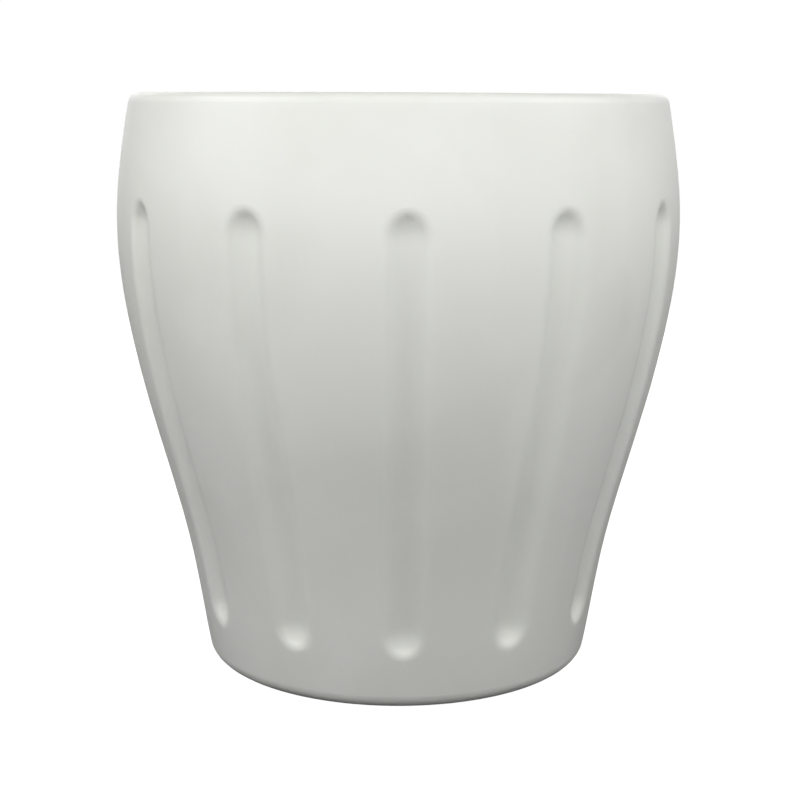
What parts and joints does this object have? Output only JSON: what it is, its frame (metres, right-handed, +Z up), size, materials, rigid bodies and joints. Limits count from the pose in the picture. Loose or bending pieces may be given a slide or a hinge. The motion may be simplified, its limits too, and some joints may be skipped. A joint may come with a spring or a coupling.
{
  "type": "pen holder cup",
  "caption": "Tulip-shaped moulded plastic desk cup for pens, with blind upright flutes around the side, a rounded rim and stick-on rubber feet in seats under the base.",
  "frame": {"origin": "on the axis of the cup, in the plane that the feet stand on", "axes": "+Z up along the axis of the cup, -Y towards one of the flutes, +X to the right of it"},
  "size_m": [0.0976, 0.0976, 0.1006],
  "materials": {
    "cup_plastic": "moulded polypropylene, warm white, satin",
    "foot_rubber": "dark grey polyurethane rubber, matte",
    "adhesive": "double-sided acrylic tape, cloudy"
  },
  "bodies": {
    "root": {"cup_body": "cup_plastic", "rubber_foot_1": "foot_rubber", "rubber_foot_2": "foot_rubber", "rubber_foot_3": "foot_rubber", "rubber_foot_4": "foot_rubber", "adhesive_disc_1": "adhesive", "adhesive_disc_2": "adhesive", "adhesive_disc_3": "adhesive", "adhesive_disc_4": "adhesive"}
  },
  "joints": []
}
